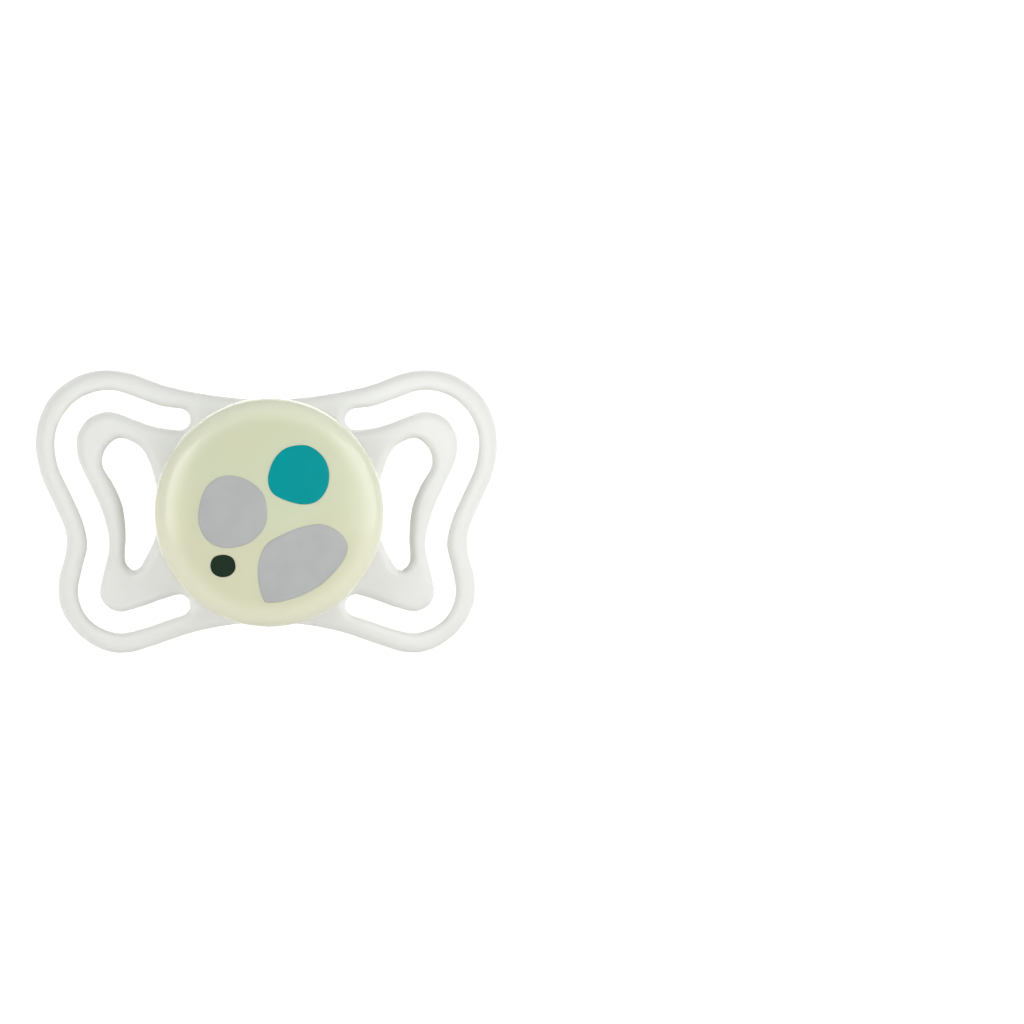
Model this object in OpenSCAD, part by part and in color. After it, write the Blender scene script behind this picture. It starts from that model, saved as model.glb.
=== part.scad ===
// Button soother: a butterfly shield, a silicone teat clamped through its hub by a plug,
// and a domed button with printed spots that snaps over the hub's collar.
// Row frame: +X right, +Y back towards the mouth, +Z up. Millimetres.
// Every piece is drawn lying on its back, with its local z towards the front, and then stood up.

/* [Shield] */
// Width across the two wings
shield_w = 60.8; // [58:0.2:64]
// Thickness of the shield
shield_t = 2.4; // [2:0.1:3]
// Radius of the dish that curves the wings back to the face
dish_r = 62; // [55:1:80]
// Width of the long slot that runs round each wing
slot_w = 2.8; // [2.4:0.1:3]

/* [Hub] */
// Radius of the hub's bore, which the teat passes through
bore_r = 6; // [5.8:0.1:6.4]
// Outer radius of the collar that the button snaps on, which is also the stem behind the button
collar_r = 9.5; // [9.4:0.1:9.8]
// Wall of the collar
collar_wall = 1.5; // [1.2:0.1:1.6]
// Height of the collar over the hub's front face
collar_h = 4.6; // [4.4:0.1:4.8]
// Depth of the hub from its front face to its rear seat
hub_depth = 3.3; // [3.2:0.1:3.6]

/* [Button] */
// Outer radius of the button
button_r = 15; // [14:0.1:15]
// Height of the button's crown over the hub's front face
button_top = 8.8; // [8.6:0.1:9.4]
// Gap behind the button's rim, where a clip's loop goes
rim_lift = 1.8; // [1.6:0.1:2]
// Radius of the crown's large sphere
crown_r = 45.8; // [44:0.1:52]
// Radius of the flat middle of the crown, which the soother can lie on
crown_flat = 5; // [2:0.5:6]
// Radius of the rounded shoulder
shoulder_r = 3; // [2.8:0.1:3.2]
// Wall of the button's dome
dome_wall = 1.6; // [1.2:0.1:1.8]

/* [Teat] */
// Distance from the hub's front face to the teat's tip
teat_reach = 31; // [29:0.5:33]
// Wall of the silicone
teat_wall = 1.35; // [1.1:0.05:1.5]
// Distance from the hub's front face to the line that the thin neck bends about
flex_y = 11.5; // [11:0.1:12]
// Radius of the seam that stands for the bend
flex_r = 4.5; // [4.2:0.1:4.6]

/* [Prints] */
// Thickness of a printed ink film
ink_t = 0.05; // [0.03:0.01:0.1]

/* [Hidden] */
$fn = 64;

fit = 0.05;               // clearance between pieces that are pushed together
running = 0.05;           // clearance across the flex seam
plan_scale = shield_w / 60.8;
span_steps = 4;           // straight steps in each span of a plan curve
cap_steps = 8;            // steps round a slot's end
collar_in = collar_r - collar_wall;
flange_t = 1.4;           // teat's flange
disc_t = 1;               // plug's disc
stem_r = 4;               // plug's stem, which is the hollow in the teat's root
stem_depth = 3.5;         // how far the stem reaches behind the hub's front face
barb_h = 0.35;            // how far the stem's barb and the collar's bead stand out
vent_r = 1;               // air hole through the plug
plate_t = 1.2;            // button base's plate
base_r = button_r - 2.4;  // button base's outer radius
crown_z = button_top - crown_r;                                  // centre of the crown's sphere
flat_z = crown_z + sqrt(pow(crown_r, 2) - pow(crown_flat, 2));   // height of its flat middle
cup_top = 1.1;            // height of the button base's cup over the collar
shoulder_x = button_r - shoulder_r;                              // centre circle of the shoulder
shoulder_tilt = asin(shoulder_x / (crown_r - shoulder_r));
shoulder_z = crown_z + (crown_r - shoulder_r) * cos(shoulder_tilt);

// Right half of the butterfly, from the middle of the top edge to the middle of the bottom edge
half_edge = [
    [0, 14.7], [5, 15], [10, 15.75], [14, 16.7], [17.5, 18], [21, 18.55], [24.5, 17.9],
    [27.8, 15.7], [29.8, 12.4], [30.4, 8.5], [29.6, 4.5], [27.8, 0.5], [26.5, -2.7],
    [26.5, -5.6], [27.4, -9.2], [27.1, -12.7], [25, -16], [21.7, -18.2], [18.3, -18.6],
    [14.5, -17.5], [10, -15.95], [5, -14.9], [0, -14.6]];
// Middle line of the long slot, from its upper end to its lower end
slot_line = [
    [11.6, 12.1], [14.4, 12.5], [17.3, 13.5], [20.8, 14.5], [24.2, 13.4], [26.3, 10.3],
    [26.2, 6.6], [24.6, 3], [23, -0.6], [22.2, -4.3], [22.9, -7.8], [23.4, -10.8],
    [22.3, -13.3], [19.6, -14.6], [16.6, -14], [13.5, -12.9], [11.6, -12.3]];
// Edge of the window between the slot and the button
window_edge = [
    [19.3, 9.6], [21.2, 8.2], [21.6, 6], [20.2, 3.5], [19, 0.6], [18.6, -3], [18.7, -6.2],
    [18.3, -7.2], [17.5, -7.7], [16.7, -7.2], [16.1, -6.2], [14.9, -3.6], [14.3, 0],
    [14.9, 4.4], [16.5, 8.2]];

// Teat's cross-sections behind the hub, each [distance, half width, half height, rise of the middle]
teat_sections = [
    [3.2, 5.8, 5.8, 0], [5, 5.75, 5.2, 0], [7, 5.6, 4, 0], [9.5, 5.5, 3.1, 0], [12, 5.6, 2.9, 0.1],
    [14.5, 6.2, 3.3, 0.4], [17, 7.4, 4.4, 0.8], [20, 8.5, 5.6, 1.2], [23, 8.8, 6, 1.5],
    [26, 8.2, 5.5, 1.7], [28.6, 6.4, 4.2, 1.9], [30.3, 3.6, 2.4, 2], [31, 1, 0.7, 2]];
teat_stretch = (teat_reach - teat_sections[0][0]) / 27.8;
section_sides = 28;       // sides of a cross-section
section_steps = 2;        // rings between two cross-sections

function spline_point(a, b, c, d, t) =
    0.5 * (2 * b + (c - a) * t + (2 * a - 5 * b + 4 * c - d) * t * t + (3 * b - a - 3 * c + d) * t * t * t);

// Smooth closed curve through a list of points
function closed_curve(p, steps) = let (n = len(p)) [
    for (i = [0:n - 1]) for (k = [0:steps - 1])
        spline_point(p[(i + n - 1) % n], p[i], p[(i + 1) % n], p[(i + 2) % n], k / steps)];

// Smooth open curve through a list of points
function open_curve(p, steps) = let (n = len(p)) concat([
    for (i = [0:n - 2]) for (k = [0:steps - 1])
        spline_point(p[max(i - 1, 0)], p[i], p[i + 1], p[min(i + 2, n - 1)], k / steps)], [p[n - 1]]);

function heading(p, i) = let (
    d = p[min(i + 1, len(p) - 1)] - p[max(i - 1, 0)]) atan2(d[1], d[0]);
function around(centre, r, angle) = centre + r * [cos(angle), sin(angle)];

// Outline of a round-ended slot of half width r along a line
function slot_outline(p, r) = let (last = len(p) - 1) concat(
    [for (i = [0:last]) around(p[i], r, heading(p, i) + 90)],
    [for (k = [1:cap_steps - 1]) around(p[last], r, heading(p, last) + 90 - 180 * k / cap_steps)],
    [for (i = [last:-1:0]) around(p[i], r, heading(p, i) - 90)],
    [for (k = [1:cap_steps - 1]) around(p[0], r, heading(p, 0) - 90 - 180 * k / cap_steps)]);

function mirrored(p) = [for (i = [len(p) - 2:-1:1]) [-p[i][0], p[i][1]]];

module stand_up() rotate([90, 0, 0]) children();
module both_sides() { children(); mirror([1, 0, 0]) children(); }
module from_to(z0, z1, r) translate([0, 0, z0]) cylinder(r = r, h = z1 - z0);

// ---- shield ----

module shield_plan() scale(plan_scale) difference() {
    polygon(closed_curve(concat(half_edge, mirrored(half_edge)), span_steps));
    both_sides() polygon(slot_outline(open_curve(slot_line, span_steps), slot_w / 2));
    both_sides() polygon(closed_curve(window_edge, span_steps));
}

module dished_plate() intersection() {
    translate([0, 0, -dish_r / 2]) linear_extrude(dish_r) shield_plan();
    difference() {
        translate([0, 0, -dish_r]) sphere(r = dish_r);
        translate([0, 0, -dish_r]) sphere(r = dish_r - shield_t);
    }
}

module shield() color("#F2F3EF") stand_up() difference() {
    union() {
        dished_plate();
        from_to(-hub_depth, 0, collar_r);
        from_to(-1, collar_h, collar_r);
        translate([0, 0, collar_h - 1.2]) rotate_extrude()
            polygon([[collar_r - 0.5, 0], [collar_r, 0], [collar_r + barb_h, 0.3],
                [collar_r, 0.9], [collar_r - 0.5, 0.9]]);
    }
    from_to(-hub_depth - 1, 1, bore_r);
    from_to(0, collar_h + 1, collar_in);
    rear_recess();
}

// Shallow groove that parts the teat's root from the flat rear seat
module rear_recess() difference() {
    from_to(-hub_depth - 1, -hub_depth + 0.4, bore_r + 1.1);
    from_to(-hub_depth - 2, 0, bore_r - 1);
}

// ---- teat ----

function teat_section(i) = let (s = teat_sections[i]) [
    teat_sections[0][0] + (s[0] - teat_sections[0][0]) * teat_stretch, s[1], s[2], s[3]];
function teat_rings(wall) = [
    for (s = open_curve([for (i = [0:len(teat_sections) - 1]) teat_section(i)], section_steps))
        [s[0], max(s[1] - wall, 0.3), max(s[2] - wall, 0.3), s[3]]];

// Closed loft through oval rings, each [distance, half width, half height, rise]
module oval_loft(rings) {
    sides = section_sides;
    last = len(rings) - 1;
    points = [for (s = rings) for (k = [0:sides - 1])
        [s[1] * cos(360 * k / sides), s[3] + s[2] * sin(360 * k / sides), -s[0]]];
    walls = [for (i = [0:last - 1]) for (k = [0:sides - 1])
        let (a = i * sides + k, b = i * sides + (k + 1) % sides)
            each [[a, b, a + sides], [b, b + sides, a + sides]]];
    near_end = [for (k = [sides - 1:-1:0]) k];
    far_end = [for (k = [0:sides - 1]) last * sides + k];
    polyhedron(points, concat(walls, [near_end], [far_end]));
}

module teat_skin() oval_loft(teat_rings(0));

// The hollow stops one wall short of the tip
module teat_hollow() let (rings = teat_rings(teat_wall))
    oval_loft([for (s = rings) if (s[0] < teat_reach - teat_wall) s]);

// Cylinder across the neck about which the thin neck bends
module flex_seam(r) translate([0, 0, -flex_y]) rotate([0, 90, 0]) cylinder(r = r, h = 30, center = true);
module behind_flex() translate([-20, -20, -flex_y - 40]) cube([40, 40, 40]);

module teat_base() color("#E9EDEE", 0.6) stand_up() difference() {
    union() {
        from_to(0, flange_t, collar_in - fit);
        from_to(-3.5, 0.5, bore_r - fit);
        teat_skin();
    }
    teat_hollow();
    from_to(-3.7, flange_t + 1, stem_r);
    from_to(-2.9, -1.9, stem_r + barb_h);
    flex_seam(flex_r + running);
    behind_flex();
}

module teat_bulb() color("#E9EDEE", 0.6) stand_up() difference() {
    intersection() {
        teat_skin();
        union() {
            flex_seam(flex_r);
            behind_flex();
        }
    }
    teat_hollow();
}

module teat_plug() color("#FAFAF8") stand_up() difference() {
    union() {
        from_to(flange_t, flange_t + disc_t, collar_in - fit);
        from_to(-stem_depth, flange_t + disc_t, stem_r - fit);
        translate([0, 0, -2.8]) rotate_extrude()
            polygon([[stem_r - 0.6, 0], [stem_r - fit, 0], [stem_r + barb_h - fit, 0.6],
                [stem_r - fit, 0.8], [stem_r - 0.6, 0.8]]);
    }
    from_to(-stem_depth - 1, flange_t + disc_t + 1, vent_r);
    from_to(-stem_depth - 1, -1, stem_r - 1.3);
}

// ---- button ----

module button_base() color("#FAFAF8") stand_up() difference() {
    union() {
        from_to(rim_lift, rim_lift + plate_t, base_r - fit);
        from_to(rim_lift, collar_h + cup_top, collar_r + 1.4);
    }
    difference() {
        from_to(rim_lift - 1, collar_h + 0.4, collar_r + fit);
        difference() {
            from_to(flange_t + disc_t, collar_h + 2, 6.4);
            from_to(0, collar_h + 0.4, 5);
        }
    }
    translate([0, 0, collar_h - 1.2]) rotate_extrude()
        polygon([[collar_r - 0.5, -0.1], [collar_r + fit, -0.1], [collar_r + barb_h + fit, 0.3],
            [collar_r + fit, 1], [collar_r - 0.5, 1]]);
}

// Half profile of the button's outer skin: crown sphere, tangent shoulder, and the rim's flat underside
module dome_outline() intersection() {
    union() {
        intersection() {
            translate([0, crown_z]) circle(r = crown_r);
            polygon([[0, crown_z], [0, button_top + 2],
                [(button_top + 2 - crown_z) * tan(shoulder_tilt), button_top + 2]]);
        }
        translate([shoulder_x, shoulder_z]) circle(r = shoulder_r);
        translate([0, rim_lift]) square([shoulder_x, shoulder_z - rim_lift]);
    }
    translate([0, rim_lift]) square([button_r + 1, flat_z - rim_lift]);
}

module dome_cavity() {
    translate([0, rim_lift - 1]) square([base_r, plate_t + 1]);
    intersection() {
        translate([0, crown_z]) circle(r = crown_r - dome_wall);
        translate([0, rim_lift]) square([base_r - 0.4, button_top]);
    }
}

module button_dome() color("#DDE2BD") stand_up() rotate_extrude() difference() {
    dome_outline();
    dome_cavity();
}

// ---- printed spots ----

teal_edge = [[3.3, 8.8], [0.8, 7.4], [-0.3, 4.4], [1.4, 1.9], [4.8, 1.1], [7.3, 2.8], [7.7, 5.8], [6, 8.3]];
grey_edge = [[-5.2, 4.9], [-8, 3.7], [-9.3, 0.6], [-8.6, -3], [-5.5, -4.6], [-1.9, -3.2],
    [-0.4, -0.2], [-1.7, 3.3]];
leaf_edge = [[5.9, -1.6], [3, -2.3], [0.1, -3.6], [-1.5, -6.9], [-1.2, -10.4], [-0.4, -11.7],
    [1.5, -11.7], [5.6, -10.3], [8.6, -7.7], [10.1, -4.9], [9.5, -2.9], [7.8, -1.8]];
dot_edge = [[-6.4, -5.5], [-7.7, -6.6], [-7.2, -8.1], [-5.8, -8.4], [-4.5, -7.2], [-5.1, -5.8]];

// The crown's sphere with its flat middle, made larger all over by a little
module crown_ball(more) difference() {
    translate([0, 0, crown_z]) sphere(r = crown_r + more);
    translate([-10, -10, flat_z + more]) cube([20, 20, 5]);
}

// Ink film on the crown, just clear of it
module ink(edge) stand_up() difference() {
    intersection() {
        translate([0, 0, 2]) linear_extrude(button_top) polygon(closed_curve(edge, span_steps));
        crown_ball(0.01 + ink_t);
    }
    crown_ball(0.01);
}

module print_teal_pebble() color("#069698") ink(teal_edge);
module print_grey_pebble() color("#B4B7B8") ink(grey_edge);
module print_grey_leaf() color("#B4B7B8") ink(leaf_edge);
module print_dark_dot() color("#26362A") ink(dot_edge);

shield();
teat_base();
teat_bulb();
teat_plug();
button_base();
button_dome();
print_teal_pebble();
print_grey_pebble();
print_grey_leaf();
print_dark_dot();
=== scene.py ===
"""Button soother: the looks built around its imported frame."""

import math

import bpy
import numpy as np
from bpy.props import FloatProperty, FloatVectorProperty, PointerProperty
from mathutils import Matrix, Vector
from mathutils.geometry import delaunay_2d_cdt


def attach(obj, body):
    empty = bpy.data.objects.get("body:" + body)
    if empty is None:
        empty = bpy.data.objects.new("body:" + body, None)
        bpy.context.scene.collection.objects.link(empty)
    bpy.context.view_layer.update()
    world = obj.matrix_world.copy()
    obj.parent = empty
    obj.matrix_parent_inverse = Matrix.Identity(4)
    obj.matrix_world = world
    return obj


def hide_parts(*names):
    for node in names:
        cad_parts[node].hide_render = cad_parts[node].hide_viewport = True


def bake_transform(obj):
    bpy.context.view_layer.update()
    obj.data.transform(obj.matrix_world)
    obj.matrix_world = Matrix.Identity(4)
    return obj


bl_info = {
    "name": "Button soother",
    "version": (1, 0, 0),
    "blender": (4, 5, 0),
    "location": "View3D > Sidebar > Soother",
    "description": "Builds a soother's shield, teat, button and prints around its frame",
    "category": "Object",
}

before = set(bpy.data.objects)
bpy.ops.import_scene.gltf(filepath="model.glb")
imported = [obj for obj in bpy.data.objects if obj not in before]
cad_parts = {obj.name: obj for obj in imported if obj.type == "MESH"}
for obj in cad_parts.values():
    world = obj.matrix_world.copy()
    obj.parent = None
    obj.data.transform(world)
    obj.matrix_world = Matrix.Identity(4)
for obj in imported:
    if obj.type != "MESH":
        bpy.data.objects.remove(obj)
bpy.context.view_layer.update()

MM = 0.001
HOLDER, TEAT_TIP = "holder", "teat_tip"

# Every outline is in millimetres, as seen from the front: x to the right, y up, z towards
# the viewer, with zero on the button's axis at the front face of the shield's hub.

# Right half of the butterfly, from the middle of the top edge to the middle of the bottom edge
HALF_EDGE = [
    (0, 14.7), (5, 15), (10, 15.75), (14, 16.7), (17.5, 18), (21, 18.55), (24.5, 17.9),
    (27.8, 15.7), (29.8, 12.4), (30.4, 8.5), (29.6, 4.5), (27.8, 0.5), (26.5, -2.7),
    (26.5, -5.6), (27.4, -9.2), (27.1, -12.7), (25, -16), (21.7, -18.2), (18.3, -18.6),
    (14.5, -17.5), (10, -15.95), (5, -14.9), (0, -14.6),
]
# Middle line of the long slot in the right wing
SLOT_LINE = [
    (11.6, 12.1), (14.4, 12.5), (17.3, 13.5), (20.8, 14.5), (24.2, 13.4), (26.3, 10.3),
    (26.2, 6.6), (24.6, 3), (23, -0.6), (22.2, -4.3), (22.9, -7.8), (23.4, -10.8),
    (22.3, -13.3), (19.6, -14.6), (16.6, -14), (13.5, -12.9), (11.6, -12.3),
]
# Edge of the right wing's window
WINDOW_EDGE = [
    (19.3, 9.6), (21.2, 8.2), (21.6, 6), (20.2, 3.5), (19, 0.6), (18.6, -3), (18.7, -6.2),
    (18.3, -7.2), (17.5, -7.7), (16.7, -7.2), (16.1, -6.2), (14.9, -3.6), (14.3, 0), (14.9, 4.4),
    (16.5, 8.2),
]
# Outlines of the four printed spots
TEAL_EDGE = [
    (3.1, 8.75), (1.5, 8.05), (0.3, 6.5), (-0.25, 4.3), (0.45, 2.5), (2.6, 1.45), (4.6, 1.1),
    (6.3, 1.6), (7.5, 3.2), (7.75, 5.4), (7, 7.3), (5.2, 8.7),
]
GREY_EDGE = [
    (-4.9, 4.85), (-6.8, 4.55), (-8.3, 3.3), (-9.1, 1.3), (-9.3, -1.2), (-8.4, -3.3),
    (-6.8, -4.4), (-4.8, -4.55), (-2.6, -3.85), (-0.8, -2), (-0.4, 0.2), (-1, 2.6),
    (-2.8, 4.2),
]
LEAF_EDGE = [
    (6.6, -1.5), (4.4, -1.8), (2, -2.7), (-0.3, -4), (-1.3, -5.9), (-1.55, -8),
    (-1.2, -10.2), (-0.75, -11.4), (-0.35, -11.75), (1.4, -11.65), (4.2, -10.8), (6.7, -9.4),
    (8.7, -7.5), (9.8, -5.9), (10.2, -4.4), (9.6, -3.1), (8.3, -2.05),
]
DOT_EDGE = [
    (-6.5, -5.5), (-7.4, -5.9), (-7.75, -6.9), (-7.4, -7.9), (-6.4, -8.4), (-5.2, -8.2),
    (-4.5, -7.3), (-4.7, -6.1), (-5.5, -5.55),
]
# Teat sections behind the hub: distance, half width, half height, rise of the middle
TEAT_SECTIONS = [
    (3.3, 5.95, 5.95, 0), (5, 5.8, 5.25, 0), (7, 5.6, 4, 0), (9.5, 5.5, 3.1, 0),
    (12, 5.6, 2.9, 0.1), (14.5, 6.2, 3.3, 0.4), (17, 7.4, 4.4, 0.8), (20, 8.5, 5.6, 1.2),
    (23, 8.8, 6, 1.5), (26, 8.2, 5.5, 1.7), (28.6, 6.4, 4.2, 1.9), (30.2, 3.9, 2.5, 2),
    (30.85, 1.7, 1.1, 2),
]
TEAT_TIP_Y, TEAT_TIP_RISE = 31.0, 2.0

# The button's crown is part of a sphere, and its shoulder is part of a ring with a round section
CROWN_RADIUS, CROWN_TOP = 45.8, 8.8
SHOULDER_REACH, SHOULDER_RADIUS = 12.0, 3.0
CROWN_CENTRE = CROWN_TOP - CROWN_RADIUS
SHOULDER_TILT = math.asin(SHOULDER_REACH / (CROWN_RADIUS - SHOULDER_RADIUS))
SHOULDER_Z = CROWN_CENTRE + (CROWN_RADIUS - SHOULDER_RADIUS) * math.cos(SHOULDER_TILT)
BUTTON_RIM_Z = 1.8
BUTTON_WALL = 1.6

EDGE_SPACING = 0.34  # between points along an edge of the shield
FACE_SPACING = 0.7  # between points on the shield's flat areas
EDGE_RINGS = 6  # rings of points over the rounding of an edge
INK_SPACING = 0.16  # between points along a print's edge
ROUND_SEGMENTS = 144  # round a turned piece
HUB_HOLE = 7.4  # radius of the opening that the wings leave for the hub


def linear(code):
    """An sRGB hex colour as linear red, green, blue."""
    values = [int(code[i : i + 2], 16) / 255 for i in (1, 3, 5)]
    return tuple(v / 12.92 if v <= 0.04045 else ((v + 0.055) / 1.055) ** 2.4 for v in values)


# ---- curves and meshes ----


def spline(points, closed, steps=24):
    """Smooth curve through the points, as a dense array."""
    p = np.array(points, float)
    n = len(p)
    spans = n if closed else n - 1
    t = np.linspace(0, 1, steps, endpoint=False)[:, None]
    rows = []
    for i in range(spans):
        at = [(i + k) % n if closed else min(max(i + k, 0), n - 1) for k in (-1, 0, 1, 2)]
        a, b, c, d = p[at]
        rows.append(
            0.5
            * (
                2 * b
                + (c - a) * t
                + (2 * a - 5 * b + 4 * c - d) * t**2
                + (3 * b - a - 3 * c + d) * t**3
            )
        )
    if not closed:
        rows.append(p[-1:])
    return np.concatenate(rows)


def even(points, spacing, closed=True):
    """The curve's points again, at even steps along it."""
    p = np.vstack([points, points[:1]]) if closed else points
    run = np.concatenate([[0], np.cumsum(np.linalg.norm(np.diff(p, axis=0), axis=1))])
    count = max(int(round(run[-1] / spacing)), 8)
    at = np.linspace(0, run[-1], count, endpoint=not closed)
    return np.column_stack([np.interp(at, run, p[:, k]) for k in range(p.shape[1])])


def tangents(p, closed=True):
    """Unit directions along a curve."""
    if closed:
        d = np.roll(p, -1, axis=0) - np.roll(p, 1, axis=0)
    else:
        d = np.gradient(p, axis=0)
    return d / np.linalg.norm(d, axis=1)[:, None]


def anticlockwise(p):
    """The closed edge, turned round if it runs clockwise."""
    x, y = p[:, 0], p[:, 1]
    area = np.sum(x * np.roll(y, -1) - y * np.roll(x, -1))
    return p if area > 0 else p[::-1]


def slot_edge(line, half_width):
    """Round-ended slot of that half width along a line."""
    mid = even(spline(line, False), EDGE_SPACING, closed=False)
    t = tangents(mid, closed=False)
    side = np.column_stack([-t[:, 1], t[:, 0]]) * half_width

    def cap(centre, across):
        turn = np.radians(np.arange(15, 180, 15))[:, None]
        ahead = np.array([across[1], -across[0]])
        return centre + across * np.cos(turn) + ahead * np.sin(turn)

    far_end, near_end = cap(mid[-1], side[-1]), cap(mid[0], -side[0])
    edge = np.vstack([mid + side, far_end, (mid - side)[::-1], near_end])
    return even(edge, EDGE_SPACING)


def circle_edge(radius):
    """A circle round the button's axis."""
    count = int(2 * math.pi * radius / EDGE_SPACING)
    turn = np.linspace(0, 2 * math.pi, count, endpoint=False)
    return radius * np.column_stack([np.cos(turn), np.sin(turn)])


def inside(points, edge):
    """Which points are inside a closed edge."""
    x, y = points[:, 0][:, None], points[:, 1][:, None]
    x0, y0 = edge[:, 0], edge[:, 1]
    x1, y1 = np.roll(x0, -1), np.roll(y0, -1)
    with np.errstate(divide="ignore", invalid="ignore"):
        cut = ((y0 > y) != (y1 > y)) & (x < (x1 - x0) * (y - y0) / (y1 - y0) + x0)
    return cut.sum(1) % 2 == 1


def distance_to(points, edges):
    """Least distance from each point to the closed edges."""
    best = np.full(len(points), np.inf)
    for edge in edges:
        a, b = edge, np.roll(edge, -1, axis=0)
        ab = b - a
        size = np.sum(ab**2, axis=1)
        for start in range(0, len(points), 2000):
            p = points[start : start + 2000, None]
            t = np.clip(np.sum((p - a) * ab, axis=2) / size, 0, 1)
            d = np.linalg.norm(p - a - t[..., None] * ab, axis=2).min(1)
            best[start : start + 2000] = np.minimum(best[start : start + 2000], d)
    return best


def stand_up(points):
    """From the lying millimetres of the outlines to the row frame's metres."""
    p = np.array(points, float).reshape(-1, 3)
    return np.column_stack([p[:, 0], -p[:, 2], p[:, 1]]) * MM


def add_piece(name, points, faces, finish, nodes, body=HOLDER):
    """A smooth mesh object in the row frame that stands for CAD nodes and rides on a body."""
    mesh = bpy.data.meshes.new(name)
    mesh.from_pydata([tuple(v) for v in stand_up(points)], [], [tuple(f) for f in faces])
    if mesh.validate():
        raise RuntimeError(f"{name} has a bad face")
    mesh.shade_smooth()
    mesh.materials.append(finish)
    piece = bpy.data.objects.new(name, mesh)
    bpy.context.scene.collection.objects.link(piece)
    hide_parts(*nodes)
    if body:
        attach(piece, body)
    return piece


def softened(corners, radii, closed, steps=6):
    """A profile with each corner rounded. A radius of 0 keeps the corner's point."""
    p = [np.array(c, float) for c in corners]
    out = []
    n = len(p)
    for i, radius in enumerate(radii):
        if radius == 0 or (not closed and i in (0, n - 1)):
            out.append(p[i])
            continue
        before, after = p[(i - 1) % n] - p[i], p[(i + 1) % n] - p[i]
        a = p[i] + before / np.linalg.norm(before) * min(radius, np.linalg.norm(before) * 0.48)
        b = p[i] + after / np.linalg.norm(after) * min(radius, np.linalg.norm(after) * 0.48)
        for t in np.linspace(0, 1, steps):
            out.append((1 - t) ** 2 * a + 2 * t * (1 - t) * p[i] + t**2 * b)
    return np.array(out)


def turned(profile, closed):
    """Points and faces of a profile turned round the axis. An open one starts and ends on it."""
    rings = profile if closed else profile[1:-1]
    turn = np.linspace(0, 2 * math.pi, ROUND_SEGMENTS, endpoint=False)
    points = [(r * math.cos(a), r * math.sin(a), z) for r, z in rings for a in turn]
    faces = ring_faces(len(rings), ROUND_SEGMENTS, closed)
    if not closed:
        faces += pole_faces(points, profile[0][1], 0, True)
        faces += pole_faces(points, profile[-1][1], len(rings) - 1, False)
    return points, faces


def ring_faces(count, sides, closed):
    """Quads between neighbouring rings of points."""
    faces = []
    for i in range(count if closed else count - 1):
        a, b = i * sides, (i + 1) % count * sides
        for k in range(sides):
            n = (k + 1) % sides
            faces.append((a + k, b + k, b + n, a + n))
    return faces


def pole_faces(points, z, ring, first, sides=ROUND_SEGMENTS, x=0.0, y=0.0):
    """A fan from a new point to a ring."""
    pole = len(points)
    points.append((x, y, z))
    start = ring * sides
    faces = []
    for k in range(sides):
        a, b = start + k, start + (k + 1) % sides
        faces.append((pole, a, b) if first else (pole, b, a))
    return faces


# ---- materials ----


def add_node(tree, kind, links=None, values=None, **settings):
    """Adds a node with its settings, its inputs' values, and links of {input: output socket}."""
    made = tree.nodes.new(kind)
    for name, value in settings.items():
        setattr(made, name, value)
    for name, value in (values or {}).items():
        made.inputs[name].default_value = value
    for name, socket in (links or {}).items():
        tree.links.new(socket, made.inputs[name])
    return made


def new_finish(name, **values):
    """A material with one Principled shader, whose plain values sit on its own sockets."""
    finish = bpy.data.materials.new(name)
    finish.use_nodes = True
    tree = finish.node_tree
    shader = tree.nodes["Principled BSDF"]
    for socket, value in values.items():
        shader.inputs[socket.replace("_", " ")].default_value = value
    return finish, tree, shader


def place_in_mm(tree):
    """Object coordinates in millimetres."""
    place = add_node(tree, "ShaderNodeTexCoord")
    return add_node(
        tree,
        "ShaderNodeVectorMath",
        {0: place.outputs["Object"]},
        operation="SCALE",
        values={"Scale": 1 / MM},
    ).outputs[0]


def noise(tree, place, size_mm, detail=2.0):
    """Noise whose blotches are about that many millimetres across."""
    return add_node(
        tree,
        "ShaderNodeTexNoise",
        {"Vector": place},
        values={"Scale": 1 / size_mm, "Detail": detail, "Roughness": 0.5},
    ).outputs["Fac"]


def ramp(tree, factor, stops):
    """Smooth colour ramp. Stops are (position, linear colour)."""
    made = add_node(tree, "ShaderNodeValToRGB", {"Fac": factor})
    band = made.color_ramp
    band.interpolation = "EASE"
    while len(band.elements) < len(stops):
        band.elements.new(0.5)
    for element, (position, colour) in zip(band.elements, stops):
        element.position = position
        element.color = (*colour, 1)
    return made.outputs["Color"]


def add_relief(tree, shader, height, depth_mm):
    """Fine relief on the surface, depth_mm from its lowest to its highest."""
    relief = add_node(
        tree,
        "ShaderNodeBump",
        {"Height": height},
        values={"Strength": 1.0, "Distance": depth_mm * MM},
    )
    tree.links.new(relief.outputs["Normal"], shader.inputs["Normal"])


def vary_roughness(tree, shader, factor, low, high):
    """Roughness that follows a noise from low to high."""
    spread = add_node(
        tree,
        "ShaderNodeMapRange",
        {"Value": factor},
        values={"From Min": 0.35, "From Max": 0.65, "To Min": low, "To Max": high},
    )
    tree.links.new(spread.outputs["Result"], shader.inputs["Roughness"])


def shaded(colour, share):
    """A colour made darker or lighter by a share."""
    return tuple(min(c * share, 1.0) for c in colour)


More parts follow.
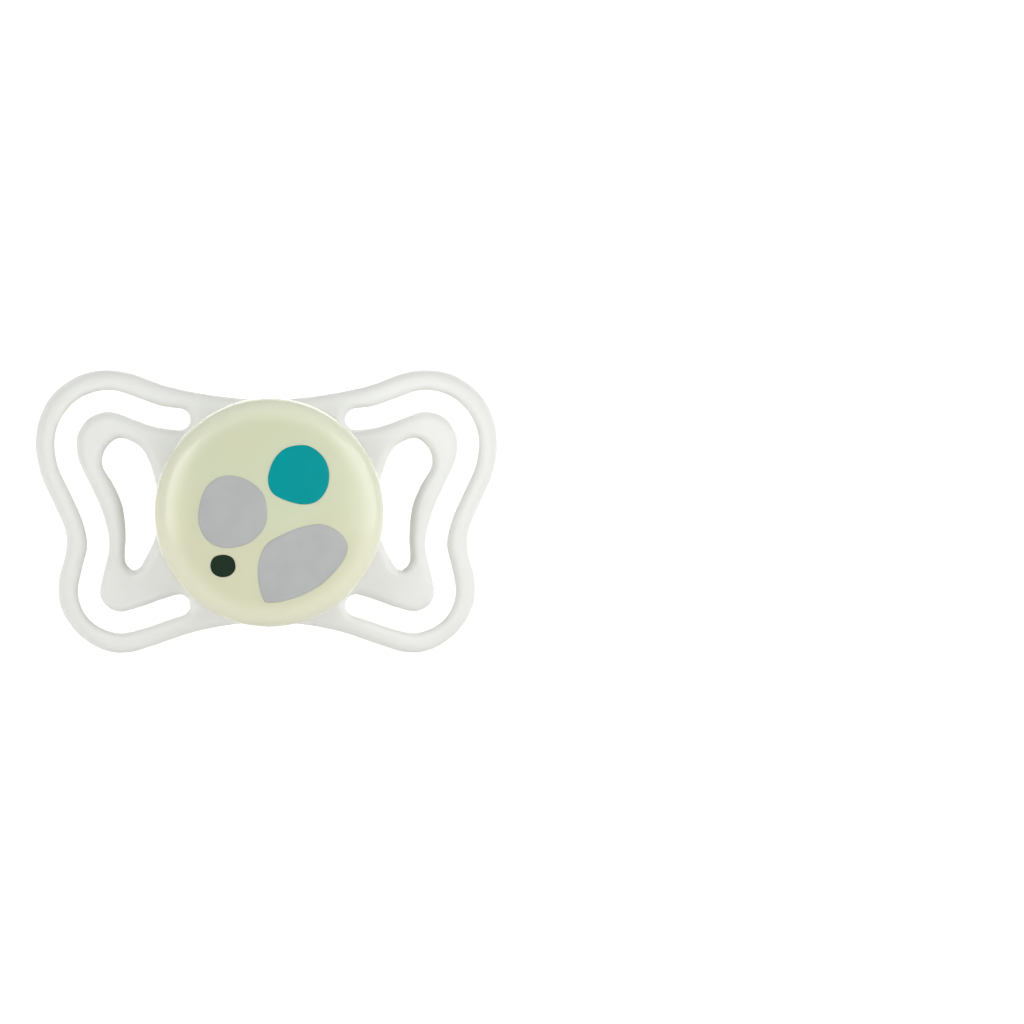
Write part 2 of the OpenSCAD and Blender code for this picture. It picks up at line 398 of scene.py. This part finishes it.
def moulded_polypropylene(name, colour, cloudiness=0.02, softness=0.3):
    """Natural polypropylene, injection moulded against a fine satin tool: milky, with soft broad
    highlights, a slow cloudiness where the melt flowed, and a faint orange peel."""
    finish, tree, shader = new_finish(
        name,
        IOR=1.49,
        Subsurface_Weight=softness,
        Subsurface_Radius=(1.0, 0.95, 0.85),
        Subsurface_Scale=1.2 * MM,
        Specular_IOR_Level=0.42,
    )
    place = place_in_mm(tree)
    cloud = noise(tree, place, 6.0, 3.0)
    tree.links.new(
        ramp(tree, cloud, [(0.3, shaded(colour, 1 - cloudiness)), (0.7, colour)]),
        shader.inputs["Base Color"],
    )
    vary_roughness(tree, shader, noise(tree, place, 2.2), 0.36, 0.46)
    # A spark-eroded tool's grain is about 0.05 mm; it is drawn at 0.4 mm so that it shows.
    add_relief(tree, shader, noise(tree, place, 0.4, 3.0), 0.002)
    return finish


def afterglow_plastic(colours):
    """Copolyester filled with afterglow pigment, moulded against a polished tool: cream with a
    green cast, cloudy and glossy. Its colour is darker over the crown and lighter towards the rim,
    partly from the thin skin over the hollow and the thick shoulder, and partly as a painted
    highlight on the shoulder."""
    finish, tree, shader = new_finish(
        "afterglow_plastic",
        IOR=1.54,
        Subsurface_Weight=0.25,
        Subsurface_Radius=(1.0, 1.05, 0.8),
        Subsurface_Scale=1.5 * MM,
        Specular_IOR_Level=0.5,
    )
    place = place_in_mm(tree)
    # How far out from the axis, as a share of the button's radius
    flat = add_node(tree, "ShaderNodeVectorMath", {0: place}, {1: (1, 0, 1)}, operation="MULTIPLY")
    reach = add_node(tree, "ShaderNodeVectorMath", {0: flat.outputs[0]}, operation="LENGTH")
    share = add_node(
        tree,
        "ShaderNodeMapRange",
        {"Value": reach.outputs["Value"]},
        values={"From Max": SHOULDER_REACH + SHOULDER_RADIUS},
    ).outputs["Result"]
    crown, shoulder, green, warm = colours
    # Darker crown to lighter shoulder: partly the thin crown over the hollow and the thick
    # shoulder, partly a painted highlight on the shoulder
    body = ramp(tree, share, [(0.0, crown), (0.75, crown), (0.95, shoulder), (1.0, shoulder)])
    # The casts drift slowly, and the lower half is the warmer one.
    height = add_node(tree, "ShaderNodeSeparateXYZ", {0: place}).outputs["Z"]
    rise = add_node(
        tree,
        "ShaderNodeMapRange",
        {"Value": height},
        values={"From Min": -14.0, "From Max": 14.0, "To Min": -0.3, "To Max": 0.3},
    ).outputs["Result"]
    drift = add_node(
        tree, "ShaderNodeMath", {0: noise(tree, place, 14.0, 1.0), 1: rise}, operation="ADD"
    ).outputs[0]
    tint = ramp(tree, drift, [(0.3, warm), (0.7, green)])
    fading = add_node(
        tree, "ShaderNodeMapRange", {"Value": share}, values={"To Min": 0.6, "To Max": 0.25}
    ).outputs["Result"]
    cast = add_node(tree, "ShaderNodeMix", {0: fading, 6: body, 7: tint}, data_type="RGBA")
    tree.links.new(cast.outputs[2], shader.inputs["Base Color"])
    vary_roughness(tree, shader, noise(tree, place, 3.0), 0.15, 0.2)
    # Pigment grains are about 0.03 mm; they are drawn at 0.5 mm so that their mottling shows.
    add_relief(tree, shader, noise(tree, place, 0.5, 2.0), 0.0015)
    return finish


def clear_silicone(colour):
    """Liquid silicone rubber from a polished tool: clear with a faint haze, a soft gloss, and
    small ripples left as it shrank off its core."""
    finish, tree, shader = new_finish(
        "clear_silicone",
        IOR=1.41,
        Transmission_Weight=0.94,
        Specular_IOR_Level=0.5,
    )
    place = place_in_mm(tree)
    haze = noise(tree, place, 5.0, 2.0)
    tree.links.new(
        ramp(tree, haze, [(0.3, shaded(colour, 0.97)), (0.7, colour)]),
        shader.inputs["Base Color"],
    )
    vary_roughness(tree, shader, noise(tree, place, 3.0), 0.1, 0.2)
    add_relief(tree, shader, noise(tree, place, 1.6, 1.0), 0.006)
    return finish


def pad_printed_ink(name, colour):
    """Pad-printed epoxy ink: flat and opaque, a little glossier than what it lies on, with the
    slight unevenness that the silicone pad leaves."""
    finish, tree, shader = new_finish(name, IOR=1.5, Specular_IOR_Level=0.08)
    place = place_in_mm(tree)
    uneven = noise(tree, place, 2.5, 3.0)
    tree.links.new(
        ramp(tree, uneven, [(0.3, shaded(colour, 0.95)), (0.7, colour)]),
        shader.inputs["Base Color"],
    )
    vary_roughness(tree, shader, noise(tree, place, 1.2), 0.34, 0.44)
    # The pad's own texture is about 0.1 mm; it is drawn at 0.5 mm so that it shows.
    add_relief(tree, shader, noise(tree, place, 0.5, 2.0), 0.0015)
    return finish


def matte_paper(colour):
    """Seamless background paper: matte, with a faint tooth. It shows from its front only, so
    the wall doesn't stand before the soother when that is seen from behind."""
    finish, tree, shader = new_finish("matte_paper", Roughness=0.95, Specular_IOR_Level=0.1)
    place = place_in_mm(tree)
    tree.links.new(
        ramp(tree, noise(tree, place, 40.0), [(0.3, shaded(colour, 0.995)), (0.7, colour)]),
        shader.inputs["Base Color"],
    )
    side = add_node(tree, "ShaderNodeNewGeometry")
    clear = add_node(tree, "ShaderNodeBsdfTransparent")
    links = {0: side.outputs["Backfacing"], 1: shader.outputs[0], 2: clear.outputs[0]}
    both = add_node(tree, "ShaderNodeMixShader", links)
    tree.links.new(both.outputs[0], tree.nodes["Material Output"].inputs["Surface"])
    return finish


# ---- settings that a user may change ----


def size_setting(name, description, default, low, high):
    """A length, with its default and limits in millimetres."""
    return FloatProperty(
        name=name,
        description=description,
        default=default * MM,
        min=low * MM,
        max=high * MM,
        subtype="DISTANCE",
        unit="LENGTH",
    )


class SootherSizes(bpy.types.PropertyGroup):
    """Sizes of what is built over the frame."""

    slot_width: size_setting("Slot width", "Width of the long slot in each wing", 2.8, 1, 4)
    thickness: size_setting("Shield thickness", "Shield between its two faces", 2.4, 1, 4)
    rounding: size_setting(
        "Edge rounding", "How far the shield's rounded edges reach in", 1.15, 0.2, 1.2
    )
    dish: size_setting("Dish radius", "Sphere that the shield's front follows", 62, 40, 120)
    teat_wall: size_setting("Teat wall", "Thickness of the teat's silicone", 1.35, 0.8, 2)
    ink: size_setting("Ink thickness", "Thickness of the printed ink", 0.05, 0.02, 0.2)


def colour_setting(name, description, code):
    """A colour, with its default as an sRGB hex value."""
    return FloatVectorProperty(
        name=name, description=description, default=linear(code), subtype="COLOR", min=0, max=1
    )


class SootherColours(bpy.types.PropertyGroup):
    """Colours of the plastics, the silicone and the inks."""

    shield: colour_setting("Shield", "Shield's polypropylene", "#E9EAE7")
    inner: colour_setting("Inner parts", "Button base and plug", "#F4F4F0")
    # The shoulder's colour is lighter than the crown's partly as a painted highlight on the
    # shoulder
    crown: colour_setting("Button crown", "Middle of the button", "#D2D5B7")
    shoulder: colour_setting("Button shoulder", "Rim of the button", "#E8E9D4")
    green_cast: colour_setting("Green cast", "Where the pigment looks greener", "#D0DABC")
    warm_cast: colour_setting("Warm cast", "Where the pigment looks warmer", "#DAD6B8")
    silicone: colour_setting("Silicone", "Teat", "#F8FAFA")
    teal: colour_setting("Teal ink", "Upper right spot", "#019599")
    grey: colour_setting("Grey ink", "Two grey spots", "#B3B6B6")
    dark: colour_setting("Dark ink", "Small dot", "#1F3024")
    paper: colour_setting("Paper", "Floor and background", "#EAEAE8")


# ---- pieces ----


class SOOTHER_OT_shield(bpy.types.Operator):
    """Build the butterfly shield with its rod-like rims, and its hub"""

    bl_idname = "soother.shield"
    bl_label = "Shield"

    def execute(self, context):
        sizes = context.scene.soother_sizes
        colours = context.scene.soother_colours
        finish = moulded_polypropylene("natural_polypropylene", tuple(colours.shield))
        self.wings(sizes, finish)
        self.hub(finish)
        return {"FINISHED"}

    def wings(self, sizes, finish):
        """The dished plate: a flat mesh between its edges, then lifted to its two faces."""
        thick, round_over, dish = sizes.thickness / MM, sizes.rounding / MM, sizes.dish / MM
        left_half = [(-x, y) for x, y in HALF_EDGE[-2:0:-1]]
        outer = even(spline(HALF_EDGE + left_half, True), EDGE_SPACING)
        slot = slot_edge(SLOT_LINE, sizes.slot_width / MM / 2)
        window = even(spline(WINDOW_EDGE, True), EDGE_SPACING)
        flip = np.array([-1, 1])
        edges = [outer, slot, slot * flip, window, window * flip, circle_edge(HUB_HOLE)]
        edges = [anticlockwise(e) for e in edges]

        rings = []
        depths = round_over * (1 - np.cos(np.linspace(0, math.pi / 2, EDGE_RINGS + 1)[1:]))
        for i, edge in enumerate(edges):
            t = tangents(edge)
            into = np.column_stack([-t[:, 1], t[:, 0]]) * (1 if i == 0 else -1)
            for depth in depths:
                ring = edge + into * depth
                rings.append(ring[distance_to(ring, edges) > depth - 0.01])
        grid = self.grid(edges)
        grid = grid[distance_to(grid, edges) > round_over + 0.3 * FACE_SPACING]
        self.lift(edges, rings, grid, (thick, round_over, dish), finish)

    def grid(self, edges):
        """Points in rows over the plate's own area."""
        low, high = edges[0].min(0), edges[0].max(0)
        row_gap = FACE_SPACING * math.sqrt(3) / 2
        rows = []
        for i, y in enumerate(np.arange(low[1], high[1], row_gap)):
            x = np.arange(low[0], high[0], FACE_SPACING) + (i % 2) * FACE_SPACING / 2
            rows.append(np.column_stack([x, np.full(len(x), y)]))
        points = np.vstack(rows)
        return points[self.on_plate(points, edges)]

    def on_plate(self, points, edges):
        """Which points are inside the outer edge and outside every hole."""
        keep = inside(points, edges[0])
        for hole in edges[1:]:
            keep &= ~inside(points, hole)
        return keep

    def lift(self, edges, rings, grid, sizes, finish):
        """Joins the flat points with triangles and lifts them to the front and back faces."""
        thick, round_over, dish = sizes
        flat, ties = [], []
        for edge in edges:
            start = len(flat)
            flat += edge.tolist()
            ties += [(start + k, start + (k + 1) % len(edge)) for k in range(len(edge))]
        rim_count = len(flat)
        for more in rings + [grid]:
            flat += more.tolist()
        made = delaunay_2d_cdt([Vector(p) for p in flat], ties, [], 0, 1e-6)
        points = np.array([tuple(v) for v in made[0]])
        on_rim = np.array([any(k < rim_count for k in ids) for ids in made[3]])
        faces = np.array([f for f in made[2] if len(f) == 3])
        faces = faces[self.on_plate(points[faces].mean(1), edges)]
        a = points[faces[:, 0]]
        ab, ac = points[faces[:, 1]] - a, points[faces[:, 2]] - a
        area = ab[:, 0] * ac[:, 1] - ab[:, 1] * ac[:, 0]
        faces[area < 0] = faces[area < 0][:, ::-1]

        depth = np.clip(distance_to(points, edges) / round_over, 0, 1)
        fullness = np.sqrt(1 - (1 - depth) ** 2)
        fullness[on_rim] = 0
        from_axis = np.sum(points**2, axis=1)
        front = np.sqrt(dish**2 - from_axis) - dish
        back = np.sqrt((dish - thick) ** 2 - from_axis) - dish
        middle, half = (front + back) / 2, (front - back) / 2

        used = np.unique(faces)
        number = np.full(len(points), -1)
        number[used] = np.arange(len(used))
        top = number[faces]
        behind = np.full(len(points), -1)
        off_rim = used[~on_rim[used]]
        behind[used] = number[used]
        behind[off_rim] = len(used) + np.arange(len(off_rim))
        under = behind[faces][:, ::-1]
        solid = np.vstack(
            [
                np.column_stack([points, middle + half * fullness])[used],
                np.column_stack([points, middle - half * fullness])[off_rim],
            ]
        )
        every = np.vstack([top, under]).tolist()
        add_piece("shield_wings", solid, every, finish, ["shield"])

    def hub(self, finish):
        """Collar for the button, bore for the teat, and the flat seat behind."""
        corners = [
            (6.0, 0.0), (8.0, 0.0), (8.0, 4.6), (9.5, 4.6), (9.5, 4.3), (9.85, 3.7), (9.5, 3.4),
            (9.5, 0.15), (10.4, -0.5), (11.8, -1.0), (13.2, -1.5), (13.1, -2.3), (10.8, -2.7),
            (10.1, -3.3), (7.1, -3.3), (7.1, -2.9), (6.0, -2.9),
        ]
        radii = [
            0.1, 0.2, 0.25, 0.25, 0.1, 0.2, 0.1, 0.9, 0.5, 0.6, 0.2, 0.2, 0.2, 0.3, 0.15, 0.1, 0.1,
        ]
        points, faces = turned(softened(corners, radii, True), True)
        add_piece("shield_hub", points, faces, finish, ["shield"])


class SOOTHER_OT_teat(bpy.types.Operator):
    """Build the hollow silicone teat as one moulding that bends at its neck"""

    bl_idname = "soother.teat"
    bl_label = "Teat"

    SIDES = 72
    DISH = 0.2  # share of its height that the underside is dished by
    DISH_FROM, DISH_FULL = 6.2, 8.8  # half widths at which the dish starts and is full
    LEAST = 0.2  # least half width of the hollow
    HOLLOW_FROM, HOLLOW_END_GAP = 5.0, 0.5

    def section(self, y, wide, high, rise):
        """One ring across the teat. Its underside is dished a little where it is wide."""
        ring = []
        widened = (wide - self.DISH_FROM) / (self.DISH_FULL - self.DISH_FROM)
        dish = self.DISH * min(max(widened, 0), 1)
        for k in range(self.SIDES):
            a = 2 * math.pi * k / self.SIDES
            s = math.sin(a)
            lift = high * s
            if s < 0:
                lift *= 1 - dish * s**4
            ring.append((wide * math.cos(a), rise + lift, -y))
        return ring

    def rings(self, inset):
        """Sections along the teat, smaller all round by the inset."""
        for y, wide, high, rise in spline(TEAT_SECTIONS, False, 8):
            yield y, max(wide - inset, self.LEAST), max(high - inset, self.LEAST), rise

    def execute(self, context):
        wall = context.scene.soother_sizes.teat_wall / MM
        skin = [self.section(*s) for s in self.rings(0.0)][::-1]
        root = softened(
            [(5.95, 3.0), (5.95, 0.0), (7.95, 0.0), (7.95, -1.4), (4.0, -1.4), (4.0, 3.6)],
            [0, 0.3, 0.3, 0.3, 0.3, 0],
            False,
        )
        last = TEAT_TIP_Y - wall - self.HOLLOW_END_GAP
        hollow = [self.section(*s) for s in self.rings(wall) if self.HOLLOW_FROM < s[0] < last]
        rings = skin + [self.section(y, r, r, 0.0) for r, y in root] + hollow
        points = [p for ring in rings for p in ring]
        faces = ring_faces(len(rings), self.SIDES, False)
        tip = {"sides": self.SIDES, "y": TEAT_TIP_RISE}
        faces += pole_faces(points, -TEAT_TIP_Y, 0, True, **tip)
        faces += pole_faces(points, -(TEAT_TIP_Y - wall), len(rings) - 1, False, **tip)
        finish = clear_silicone(tuple(context.scene.soother_colours.silicone))
        teat = add_piece(
            "teat", points, faces, finish, ["teat_base", "teat_bulb"], body=None
        )
        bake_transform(teat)
        return {"FINISHED"}


class SOOTHER_OT_button(bpy.types.Operator):
    """Build the button's dome, the base that snaps over the collar, and the teat's plug"""

    bl_idname = "soother.button"
    bl_label = "Button"

    def execute(self, context):
        colours = context.scene.soother_colours
        inner = moulded_polypropylene("white_polypropylene", tuple(colours.inner))
        cream = (colours.crown, colours.shoulder, colours.green_cast, colours.warm_cast)
        self.dome(afterglow_plastic([tuple(c) for c in cream]))
        self.base(inner)
        self.plug(inner)
        return {"FINISHED"}

    def dome(self, finish):
        """The cover: crown, shoulder, rim, and the same crown again from within."""
        skin = self.arc(CROWN_RADIUS, 0, CROWN_CENTRE, np.linspace(0, SHOULDER_TILT, 26))
        at_rim = math.pi / 2 - math.asin((BUTTON_RIM_Z - SHOULDER_Z) / SHOULDER_RADIUS)
        round_off = np.linspace(SHOULDER_TILT, at_rim, 24)[1:]
        skin += self.arc(SHOULDER_RADIUS, SHOULDER_REACH, SHOULDER_Z, round_off)
        reach, bore, inner_edge = CROWN_RADIUS - BUTTON_WALL, 12.6, 12.2
        inner_angles = np.linspace(math.asin(inner_edge / reach), 0, 16)
        inner_top = self.arc(reach, 0, CROWN_CENTRE, inner_angles)
        rim = softened(
            [skin[-1], (bore, BUTTON_RIM_Z), (bore, 3.0), (inner_edge, 3.0), inner_top[0]],
            [0, 0.2, 0.1, 0.1, 0],
            False,
        )
        profile = np.vstack([skin, rim[1:-1], inner_top])
        points, faces = turned(profile, False)
        add_piece("button_dome_shell", points, faces, finish, ["button_dome"])

    def arc(self, radius, out, up, angles):
        """Points of a circle about (out, up), at angles from straight up."""
        return [(out + radius * math.sin(a), up + radius * math.cos(a)) for a in angles]

    def base(self, finish):
        """The plate behind the cover, with the cup that grips the collar."""
        corners = [
            (0, 5.7), (10.9, 5.7), (10.9, 3.0), (12.55, 3.0), (12.55, 1.8), (9.55, 1.8),
            (9.55, 3.3), (9.9, 3.7), (9.55, 4.45), (9.55, 5.0), (6.4, 5.0), (6.4, 2.4),
            (5.0, 2.4), (5.0, 5.0), (0, 5.0),
        ]
        radii = [0, 0.4, 0.2, 0.1, 0.15, 0.3, 0.1, 0.2, 0.1, 0.1, 0.1, 0.1, 0.1, 0.1, 0]
        points, faces = turned(softened(corners, radii, False), False)
        add_piece("button_back", points, faces, finish, ["button_base"])

    def plug(self, finish):
        """The plug that holds the teat's flange, with its vent along the axis."""
        corners = [
            (1.0, 2.4), (7.95, 2.4), (7.95, 1.4), (3.95, 1.4), (3.95, -2.0), (4.3, -2.2),
            (3.95, -2.8), (3.95, -3.5), (2.7, -3.5), (2.7, -1.0), (1.0, -1.0),
        ]
        radii = [0.15, 0.2, 0.15, 0.1, 0.1, 0.1, 0.1, 0.25, 0.25, 0.2, 0.15]
        points, faces = turned(softened(corners, radii, True), True)
        add_piece("plug", points, faces, finish, ["teat_plug"])


class SOOTHER_OT_prints(bpy.types.Operator):
    """Print the four spots on the button's crown"""

    bl_idname = "soother.prints"
    bl_label = "Prints"

    SHARES = (1.0, 0.985, 0.9, 0.75, 0.6, 0.45, 0.3, 0.15)
    UNDER, ABOVE = 0.006, 0.012  # gap under the film, and the least height of its top
    EDGE_SHARE = 0.4  # the film's thickness at its edge, as a share of the whole

    def film(self, name, edge, finish, slot, node, ink):
        """A thin film over the crown: rings that shrink to its middle, above and below."""
        rim = anticlockwise(even(spline(edge, True), INK_SPACING))
        centre = rim.mean(0)
        sides = len(rim)
        to_full = self.SHARES[0] - self.SHARES[1]

        def lifted(xy, height):
            reach = CROWN_RADIUS + height
            return (xy[0], xy[1], CROWN_CENTRE + math.sqrt(reach**2 - xy[0] ** 2 - xy[1] ** 2))

        points = []
        for share in reversed(self.SHARES):
            full = min((1 - share) / to_full, 1)
            height = self.ABOVE + ink * (self.EDGE_SHARE + (1 - self.EDGE_SHARE) * full)
            points += [lifted(centre + (p - centre) * share, height) for p in rim]
        for share in self.SHARES:
            points += [lifted(centre + (p - centre) * share, self.UNDER) for p in rim]
        count = 2 * len(self.SHARES)
        faces = ring_faces(count, sides, False)
        x, y, z = lifted(centre, self.ABOVE + ink)
        faces += pole_faces(points, z, 0, True, sides, x, y)
        x, y, z = lifted(centre, self.UNDER)
        faces += pole_faces(points, z, count - 1, False, sides, x, y)
        add_piece(name, points, faces, finish, [node])

    def execute(self, context):
        colours = context.scene.soother_colours
        ink = context.scene.soother_sizes.ink / MM
        teal = pad_printed_ink("teal_ink", tuple(colours.teal))
        grey = pad_printed_ink("grey_ink", tuple(colours.grey))
        dark = pad_printed_ink("dark_ink", tuple(colours.dark))
        self.film("teal_pebble", TEAL_EDGE, teal, "teal_ink", "print_teal_pebble", ink)
        self.film("grey_pebble", GREY_EDGE, grey, "grey_ink", "print_grey_pebble", ink)
        self.film("grey_leaf", LEAF_EDGE, grey, "grey_ink", "print_grey_leaf", ink)
        self.film("dark_dot", DOT_EDGE, dark, "dark_ink", "print_dark_dot", ink)
        return {"FINISHED"}


# ---- stage ----


def add_softbox(name, place, aim, size, watts, spread=180):
    """A rectangular soft light that faces a point, in metres, with its spread in degrees."""
    light = bpy.data.lights.new(name, "AREA")
    light.shape = "RECTANGLE"
    light.size, light.size_y = size
    light.energy = watts
    light.spread = math.radians(spread)
    box = bpy.data.objects.new(name, light)
    box.location = place
    box.rotation_euler = (Vector(aim) - Vector(place)).to_track_quat("-Z", "Y").to_euler()
    bpy.context.scene.collection.objects.link(box)


class SOOTHER_OT_stage(bpy.types.Operator):
    """Set up the paper sweep, the soft light and the camera"""

    bl_idname = "soother.stage"
    bl_label = "Stage"

    FLOOR_Z = -0.12

    def execute(self, context):
        self.sweep(context)
        self.lights(context)
        self.camera(context)
        return {"FINISHED"}

    def sweep(self, context):
        """Seamless paper: a floor that curves up into a wall. Lengths in metres."""
        bend, back, front, half, top = 0.35, 0.9, -2.6, 3.0, 1.8
        turn = back - bend
        line = [(front, self.FLOOR_Z), (-0.6, self.FLOOR_Z), (turn, self.FLOOR_Z)]
        for a in np.linspace(0, math.pi / 2, 24)[1:]:
            line.append((turn + bend * math.sin(a), self.FLOOR_Z + bend * (1 - math.cos(a))))
        line.append((back, top))
        points = [(x, y, z) for y, z in line for x in (-half, half)]
        faces = [(2 * i, 2 * i + 1, 2 * i + 3, 2 * i + 2) for i in range(len(line) - 1)]
        mesh = bpy.data.meshes.new("paper_sweep")
        mesh.from_pydata(points, [], faces)
        mesh.shade_smooth()
        mesh.materials.append(matte_paper(tuple(context.scene.soother_colours.paper)))
        paper = bpy.data.objects.new("paper_sweep", mesh)
        context.scene.collection.objects.link(paper)

    def lights(self, context):
        """Two soft boxes before the soother, one light on the wall and one on each side's floor."""
        world = bpy.data.worlds.new("studio_air")
        world.use_nodes = True
        tree = world.node_tree
        air = tree.nodes["Background"]
        air.inputs["Color"].default_value = (1, 1, 1, 1)
        # Looked at, the room is as pale as the paper; as a light it is half as strong.
        fill, seen_more = 0.39, 0.41
        path = add_node(tree, "ShaderNodeLightPath")
        looks = {0: path.outputs["Is Camera Ray"], 1: path.outputs["Is Transmission Ray"]}
        seen = add_node(tree, "ShaderNodeMath", looks, operation="MAXIMUM").outputs[0]
        values = {1: seen_more, 2: fill}
        strength = add_node(tree, "ShaderNodeMath", {0: seen}, values, operation="MULTIPLY_ADD")
        tree.links.new(strength.outputs[0], air.inputs["Strength"])
        context.scene.world = world
        add_softbox("left_box", (-0.54, -0.52, 0.12), (0, 0, 0), (0.48, 0.65), 2.65)
        add_softbox("right_box", (0.66, -0.45, 0.14), (0, 0, 0), (0.85, 0.85), 4.85)
        add_softbox("paper_light", (0, 0.45, 0.75), (0, 0.9, 0.5), (1.8, 0.4), 14)
        for name, x in (("left_floor_light", -3.0), ("right_floor_light", 3.0)):
            add_softbox(name, (x, 0, 1.5), (x, 0, 0), (3.6, 3.0), 18, spread=60)

    def camera(self, context):
        """A long lens, a little to the left of straight on and a little above it."""
        distance, yaw, rise = 2.4, math.radians(-1.3), math.radians(0.9)
        field = 0.13422  # metres across the view at the soother
        lens = bpy.data.cameras.new("camera")
        lens.sensor_width = 36
        lens.lens = lens.sensor_width * distance / field
        lens.clip_start, lens.clip_end = 0.05, 20
        camera = bpy.data.objects.new("camera", lens)
        level = math.cos(rise)
        place = Vector((math.sin(yaw) * level, -math.cos(yaw) * level, math.sin(rise))) * distance
        aim = Vector((0.0321, 0.004, -0.0001))
        camera.location = place
        camera.rotation_euler = (aim - place).to_track_quat("-Z", "Y").to_euler()
        context.scene.collection.objects.link(camera)
        context.scene.camera = camera
        context.scene.view_settings.view_transform = "Standard"


class SOOTHER_PT_panel(bpy.types.Panel):
    """Settings and buttons for the soother"""

    bl_idname = "SOOTHER_PT_panel"
    bl_label = "Soother"
    bl_space_type = "VIEW_3D"
    bl_region_type = "UI"
    bl_category = "Soother"

    def draw(self, context):
        """Lists the settings, then a button for each operator."""
        layout = self.layout
        for group in (context.scene.soother_sizes, context.scene.soother_colours):
            column = layout.column(align=True)
            for name in group.__annotations__:
                column.prop(group, name)
        for operator in OPERATORS:
            layout.operator(operator.bl_idname)


OPERATORS = (
    SOOTHER_OT_shield,
    SOOTHER_OT_teat,
    SOOTHER_OT_button,
    SOOTHER_OT_prints,
    SOOTHER_OT_stage,
)
CLASSES = (SootherSizes, SootherColours, *OPERATORS, SOOTHER_PT_panel)


def register():
    """Makes the classes and the scene's settings known."""
    for cls in CLASSES:
        bpy.utils.register_class(cls)
    bpy.types.Scene.soother_sizes = PointerProperty(type=SootherSizes)
    bpy.types.Scene.soother_colours = PointerProperty(type=SootherColours)


def unregister():
    """Takes back what register did."""
    del bpy.types.Scene.soother_colours
    del bpy.types.Scene.soother_sizes
    for cls in reversed(CLASSES):
        bpy.utils.unregister_class(cls)


def main():
    """Builds every piece and the stage."""
    register()
    bpy.ops.soother.shield()
    bpy.ops.soother.teat()
    bpy.ops.soother.button()
    bpy.ops.soother.prints()
    bpy.ops.soother.stage()


if __name__ == "__main__":
    main()
